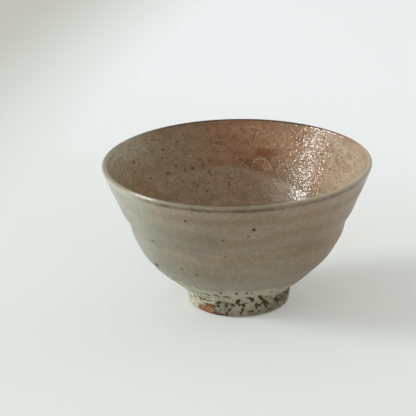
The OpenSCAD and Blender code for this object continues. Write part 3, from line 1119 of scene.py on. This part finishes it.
def inner_glaze_material():
    material, w, shader, place = new_material("Inner glaze")
    bands = use(w, BANDS, Place=place)
    colour = inner_colours(w, place, bands)
    ragged = w.drift(place, 2.5 * MM, 2.0 * MM)
    blotchy = w.between(w.noise(place, 2.2 * MM, detail=3.0, roughness=0.6), 0.3, 0.62, 0.6, 1.0)
    for strength, width, places in RUST:
        away = from_strokes(w, ragged, [(width, places)], spot=on_inside)
        rusted = w.between(away, 2.0 * MM, -1.0 * MM, 0.0, strength)
        colour = w.tinted(colour, rusted, blotchy, RUST_RED)
    dots = use(w, DOTS, Place=place, Apart=2.3 * MM, Share=0.42)["Dots"]
    colour = w.tinted(colour, dots, 0.75, srgb(94, 52, 34))
    dark, bled = specks(w, place, "inner_glaze", INNER_SPECKS)
    colour = w.tinted(colour, bled, 0.35, srgb(120, 66, 32))
    colour = w.tinted(colour, dark, 0.6, srgb(70, 30, 12))
    colour = w.mix(w.between(stored(w, "cover"), 1.0, 0.0, 0.0, 0.65), colour, srgb(146, 96, 56))
    from_rim = from_strokes(w, w.drift(place, 1.3 * MM, 1.5 * MM), BLISTERS, spot=on_inside)
    worn = w.between(w.noise(place, 1.1 * MM, detail=2.0), 0.38, 0.58, 0.15, 1.0)
    rims = w.times(w.between(from_rim, 0.3 * MM, -0.25 * MM), worn)
    colour = w.tinted(colour, rims, 0.75, PALE_RIM)
    gloss = w.between(bands["Mottle"], 0.0, 1.0, *INNER_GLOSS)
    skin = use(w, SKIN, Place=place, Wrinkled=wrinkles(w, place))["Height"]
    height = total(w, (
        (rims, RIM_HEIGHT), (dots, -PIT_DEPTH), (bands["Grain"], GRAIN_HEIGHT), (skin, 1.0),
    ))
    set_surface(w, shader, colour, gloss, height)
    return material


def lip_glaze_material():
    material, w, shader, place = new_material("Lip glaze")
    bands = use(w, BANDS, Place=place)
    along = stored(w, "along")
    over = w.between(along, 0.5, 0.68)
    colour = w.mix(over, outer_colours(w, place, bands), inner_colours(w, place, bands))
    at = w.parts(place)
    back = w.times(w.between(at["Y"], -10 * MM, 45 * MM), w.between(at["X"], -66 * MM, -34 * MM))
    front = w.minus(1.0, back)
    # The band over the roll: its own greener tone on the window's side, and paler towards +X, a painted
    # highlight where the roll's inner side faces the window.
    rolled = w.mix(w.between(at["X"], 0.0, 50 * MM), srgb(126, 119, 98), srgb(184, 174, 152))
    rolled = w.mix(w.between(at["X"], -20 * MM, -60 * MM), rolled, srgb(138, 135, 113))
    colour = w.tinted(colour, w.times(w.window(along, 0.36, 0.46, 0.58, 0.68), front), 0.8, rolled)
    # The dark line under the roll: brown glaze, darkened further as painted shade of the shallow groove
    # there; it fades on the window's side, where the groove is lit.
    line = w.window(along, 0.02, LIP_LINE_AT, LIP_LINE_AT + 0.04, 2 * LIP_LINE_AT)
    broken = w.between(w.noise(place, 7 * MM, detail=2.0), 0.38, 0.56, 0.65, 1.0)
    away_from_window = w.times(w.between(at["X"], -62 * MM, -36 * MM), w.between(at["X"], 4 * MM, 30 * MM, 1.0, 0.6))
    colour = w.mix(w.times(line, broken, away_from_window), colour, srgb(93, 73, 53))
    crown = w.window(along, 0.3, 0.42, 0.64, 0.76)
    burnt = w.mix(w.between(at["X"], 40 * MM, 62 * MM), srgb(72, 46, 30), srgb(148, 100, 66))
    colour = w.mix(w.times(crown, back, w.between(at["X"], 72 * MM, 62 * MM)), colour, burnt)
    gloss = w.between(bands["Mottle"], 0.0, 1.0, *LIP_GLOSS)
    skin = use(w, SKIN, Place=place, Wrinkled=w.times(over, wrinkles(w, place)))["Height"]
    set_surface(w, shader, colour, gloss, skin)
    return material


def crawled_glaze_material():
    material, w, shader, place = new_material("Crawled glaze")
    bands = use(w, BANDS, Place=place)
    colour = w.mix(w.between(stored(w, "cover"), 0.4, 0.75), TORN_CLAY, pale_glaze(w, place, bands))
    gloss = w.between(bands["Mottle"], 0.0, 1.0, *CRAWLED_GLOSS)
    set_surface(w, shader, colour, gloss, use(w, SKIN, Place=place, Wrinkled=0.0)["Height"])
    return material


def clay_material(name, colours):
    """Fired clay with its grain, brighter where the foot was held."""
    material, w, shader, place = new_material(name)
    grain = w.noise(place, 1.1 * MM, detail=5.0, roughness=0.7)
    shade = w.between(grain, 0.35, 0.65)
    held = patch(w, place, on_bowl(BARE_ANGLE, FOOT_RADIUS, BARE_HEIGHT), BARE_REACH)
    colour = w.mix(held, w.mix(shade, *colours), w.mix(shade, *BARE_CLAY))
    matt = w.between(grain, 0.3, 0.7, *CLAY_MATT)
    set_surface(w, shader, colour, matt, w.times(grain, CLAY_GRAIN))
    return material


outer_finish = outer_glaze_material()
inner_finish = inner_glaze_material()
lip_finish = lip_glaze_material()
crawled_finish = crawled_glaze_material()
stoneware_finish = clay_material("Stoneware", STONEWARE)
foot_finish = clay_material("Foot clay", FOOT_CLAY)


# Pieces

def wall_step(height):
    if height < CRAWL_TOP:
        return CRAWL_STEP
    return CREPE_STEP if height < CREPE_TOP else WALL_STEP


def inner_step(height):
    return INNER_STEP if height > 0.5 * BOWL_HEIGHT else FLOOR_STEP


def even(step):
    """The same step at every height."""
    return lambda height: step


THROWN = {"Swell": THROWING_SWELL, "Peel": ORANGE_PEEL}


def outer_coat():
    lines = sorted(long_lines("outer_glaze"), key=lambda line: line[:, 0].mean())
    stations = coat_stations(eased(lines[1], wall_step, WALL_EASE), thinned(lines[0]))
    values = {
        **THROWN, "Closer": OUTER_CLOSER, "Toward": math.radians(CAMERA_SIDE),
        "Crepe": CREPE_AT_FOOT, "Gap": CRAWL_GAP, "Crawl": CRAWL_DEPTH, "Thicker": CRAWL_ON_WALL,
    }
    return turned_piece("outer_coat", stations, outer_tree, OUTER_AROUND, outer_finish, values)


def inner_coat():
    lines = sorted(long_lines("inner_glaze"), key=lambda line: -line[:, 1].mean())
    stations = coat_stations(eased(lines[0], inner_step, WALL_EASE), thinned(lines[1]))
    values = {
        **THROWN, "Closer": INNER_CLOSER, "Toward": math.radians(WRINKLED_SIDE),
        "Ledge": INNER_LEDGE, "Wrinkle": INNER_WRINKLE, "Ripple": INNER_RIPPLE, "Ring": INNER_RING,
    }
    return turned_piece("inner_coat", stations, inner_tree, INNER_AROUND, inner_finish, values)


def lip_coat():
    lines = sorted(long_lines("lip_glaze"), key=lambda line: -np.hypot(*np.diff(line, axis=0).T).sum())
    shown = eased(lines[0], even(LIP_STEP), LIP_EASE)
    share = np.linspace(0, 1, len(shown))
    ends = np.clip(np.minimum(share, 1 - share) / LIP_ENDS, 0, 1)
    roll = LIP_ROLL * np.exp(-((share - LIP_ROLL_AT) / LIP_ROLL_WIDE) ** 2)
    line = LIP_LINE * np.exp(-((share - LIP_LINE_AT) / LIP_LINE_WIDE) ** 2)
    shown = shown + (ends * (roll - line))[:, None] * facing(shown)
    stations = coat_stations(shown, thinned(lines[1]))
    values = {**THROWN, "Wrinkle": INNER_WRINKLE}
    return turned_piece("lip_coat", stations, lip_tree, LIP_AROUND, lip_finish, values)


def thrown_wall():
    stations = stations_of(section("clay_wall"), 0.0)
    return turned_piece("thrown_wall", stations, clay_tree, CLAY_AROUND, stoneware_finish, {})


def turned_foot():
    """The foot's clay, finely turned on its side and base, and coarsely in the well and under the wall."""
    line = eased(section("foot"), even(FOOT_STEP), FOOT_EASE)
    outside = (line[:, 0] > FOOT_RADIUS - FOOT_RING) & (line[:, 1] < FOOT_HEIGHT - FOOT_UNDER_WALL)
    kept = outside | (np.arange(len(line)) % 3 == 0)
    kept[[0, -1]] = True
    stations = stations_of(line[kept], 1.0)
    values = {"Lines": TURNING_LINES, "Grog": GROG}
    return turned_piece("turned_foot", stations, clay_tree, FOOT_AROUND, foot_finish, values)


def foot_crawl():
    """The crawled coat, from the foot's bevel up its side and over the joint, to thin out on the wall."""
    foot = section("foot")
    joint = FOOT_HEIGHT - JOINT_BELOW
    bevel = foot[(foot[:, 0] > FOOT_RADIUS - BEVEL_WIDE) & (foot[:, 1] > BEVEL_LOW) & (foot[:, 1] < joint)]
    top = foot[np.argmax(foot[:, 0])]
    below = bevel[np.argmax(bevel[:, 1])]
    side = below + (top - below) * (joint - below[1]) / (top[1] - below[1])
    wall = max(long_lines("outer_glaze"), key=lambda line: line[:, 0].mean())
    above = wall[(wall[:, 1] > FOOT_HEIGHT) & (wall[:, 1] < CRAWL_FADED)]
    shown = eased(np.vstack([bevel[np.argsort(bevel[:, 1])], side, above]), even(FOOT_STEP), JOINT_EASE)
    hidden = (shown - CRAWL_BACK * facing(shown))[::-8]
    stations = coat_stations(shown, hidden)
    values = {"Gap": CRAWL_GAP, "Thick": CRAWL_THICK, "Thin": CRAWL_THIN, "Depth": CRAWL_DEPTH}
    return turned_piece("foot_crawl", stations, crawled_tree, CRAWL_AROUND, crawled_finish, values)


def well_coat():
    lines = sorted(long_lines("foot_well_glaze"), key=lambda line: line[:, 1].mean())
    stations = coat_stations(eased(lines[0], even(WELL_STEP), FOOT_EASE), thinned(lines[1]))
    values = {"Gap": CRAWL_GAP, "Depth": WELL_DEPTH}
    return turned_piece("well_coat", stations, well_tree, WELL_AROUND, crawled_finish, values)


for piece, node, slot in (
    (thrown_wall(), "clay_wall", "stoneware"),
    (turned_foot(), "foot", "foot_clay"),
    (outer_coat(), "outer_glaze", "outer_glaze"),
    (inner_coat(), "inner_glaze", "inner_glaze"),
    (lip_coat(), "lip_glaze", "lip_glaze"),
    (foot_crawl(), "foot_glaze", "crawled_glaze"),
    (well_coat(), "foot_well_glaze", "crawled_glaze"),
):
    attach(piece, "root")
    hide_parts(node)


# The table, the window's light and the camera

# How much of the table the camera and reflections see as a glow of its own colour, a painted light, and how
# bright that glow is
EVEN_LIGHT = 0.25
EVEN_STRENGTH = 1.08
TABLE_REACH = 6.0


def table_material():
    """A pale matt top, with a painted shadow towards its far left corner and painted light towards its far
    right side. The camera and the glaze's reflections see part of it as a glow of its own colour, a painted
    light that keeps the bowl's shadow soft and light.
    """
    material, w, shader, place = new_material("Pale table")
    toward_painted_shadow = w.vector("DOT_PRODUCT", place, (0.968, -0.253, 0.0))
    beyond = w.vector("DOT_PRODUCT", place, (0.6, 0.8, 0.0))
    # Painted light: the top is brighter towards its far right side.
    colour = w.mix(w.between(beyond, 0.0, 0.4), srgb(236, 239, 236), srgb(246, 250, 250))
    # Painted shadow: the top darkens towards its far left corner.
    colour = w.mix(w.between(toward_painted_shadow, -0.17, -0.36), colour, srgb(200, 200, 191))
    shader.inputs["Roughness"].default_value = 0.9
    shader.inputs["Specular IOR Level"].default_value = 0.1
    seen = w.node("ShaderNodeLightPath").outputs
    straight = w.most(seen["Is Camera Ray"], seen["Is Glossy Ray"], seen["Is Transmission Ray"])
    w.feed(shader.inputs["Base Color"], w.mix(straight, srgb(206, 207, 202), colour))
    even_light = w.node("ShaderNodeEmission", Color=colour, Strength=EVEN_STRENGTH).outputs[0]
    mixed = w.node("ShaderNodeMixShader", Fac=w.times(straight, EVEN_LIGHT))
    w.feed(mixed.inputs[1], shader.outputs[0])
    w.feed(mixed.inputs[2], even_light)
    w.feed(material.node_tree.nodes["Material Output"].inputs["Surface"], mixed.outputs[0])
    return material


def table():
    corners = [(TABLE_REACH * x, TABLE_REACH * y, 0) for x, y in ((-1, -1), (1, -1), (1, 1), (-1, 1))]
    mesh = bpy.data.meshes.new("table")
    mesh.from_pydata(corners, [], [(0, 1, 2, 3)])
    mesh.materials.append(table_material())
    top = new_object("table", mesh)


def lamp(name, angle, rise, away, width, height, power, colour, mirrored=True, lighting=True):
    """A soft rectangular lamp that faces the bowl from an angle round it and a rise, both in degrees. Its
    distance and size are in metres and its power in watts. A glaze mirrors it or not, and it lights the
    bowl or is only mirrored."""
    light = bpy.data.lights.new(name, "AREA")
    light.shape = "RECTANGLE"
    light.size, light.size_y = width, height
    light.energy = power
    light.color = colour
    holder = new_object(name, light)
    holder.visible_glossy = mirrored
    holder.visible_diffuse = lighting
    toward = on_bowl(angle, math.cos(math.radians(rise)), math.sin(math.radians(rise)))
    holder.location = away * toward
    holder.rotation_euler = (-toward).to_track_quat("-Z", "Y").to_euler()


def room():
    world = bpy.data.worlds.new("room")
    world.use_nodes = True
    light = world.node_tree.nodes["Background"].inputs
    light["Color"].default_value = (1.0, 0.985, 0.94, 1.0)
    light["Strength"].default_value = 0.56
    bpy.context.scene.world = world


def camera():
    """The camera of the photograph: its place in metres, and its lens in pixels of a 416 pixel frame."""
    place = Vector((0, -1.0, 0.435))
    yaw, pitch, roll = math.radians(0.951), math.radians(20.79), math.radians(1.14)
    frame_pixels, lens_pixels = 416, 1903
    lens = bpy.data.cameras.new("camera")
    lens.sensor_width = 36
    lens.lens = lens.sensor_width * lens_pixels / frame_pixels
    lens.clip_start, lens.clip_end = 0.05, 50
    eye = new_object("camera", lens)
    side = Vector((math.cos(yaw), math.sin(yaw), 0))
    level = Vector((-math.sin(yaw), math.cos(yaw), 0))
    upward = Vector((0, 0, 1))
    forward = math.cos(pitch) * level - math.sin(pitch) * upward
    above = math.sin(pitch) * level + math.cos(pitch) * upward
    right = math.cos(roll) * side - math.sin(roll) * above
    top = math.sin(roll) * side + math.cos(roll) * above
    turn = Matrix((right, top, -forward)).transposed()
    eye.matrix_world = Matrix.Translation(place) @ turn.to_4x4()
    bpy.context.scene.camera = eye


table()
lamp("window", 180, 20, 4.0, 1.3, 1.2, 126, (0.94, 0.98, 1.06), mirrored=False)
lamp("window_pane", 189, 21, 4.0, 1.0, 0.5, 40, (0.97, 0.99, 1.03), lighting=False)
lamp("window_curtain", 212, 26, 4.0, 2.4, 0.9, 10, (0.97, 0.99, 1.03))
lamp("window_top", 161, 46, 4.0, 1.8, 0.9, 100, (0.93, 0.99, 1.06), lighting=False)
lamp("pale_wall", 25, 12, 3.0, 2.0, 1.0, 14, (1.0, 0.98, 0.95), mirrored=False)
room()
camera()
bpy.context.scene.view_settings.view_transform = "Standard"
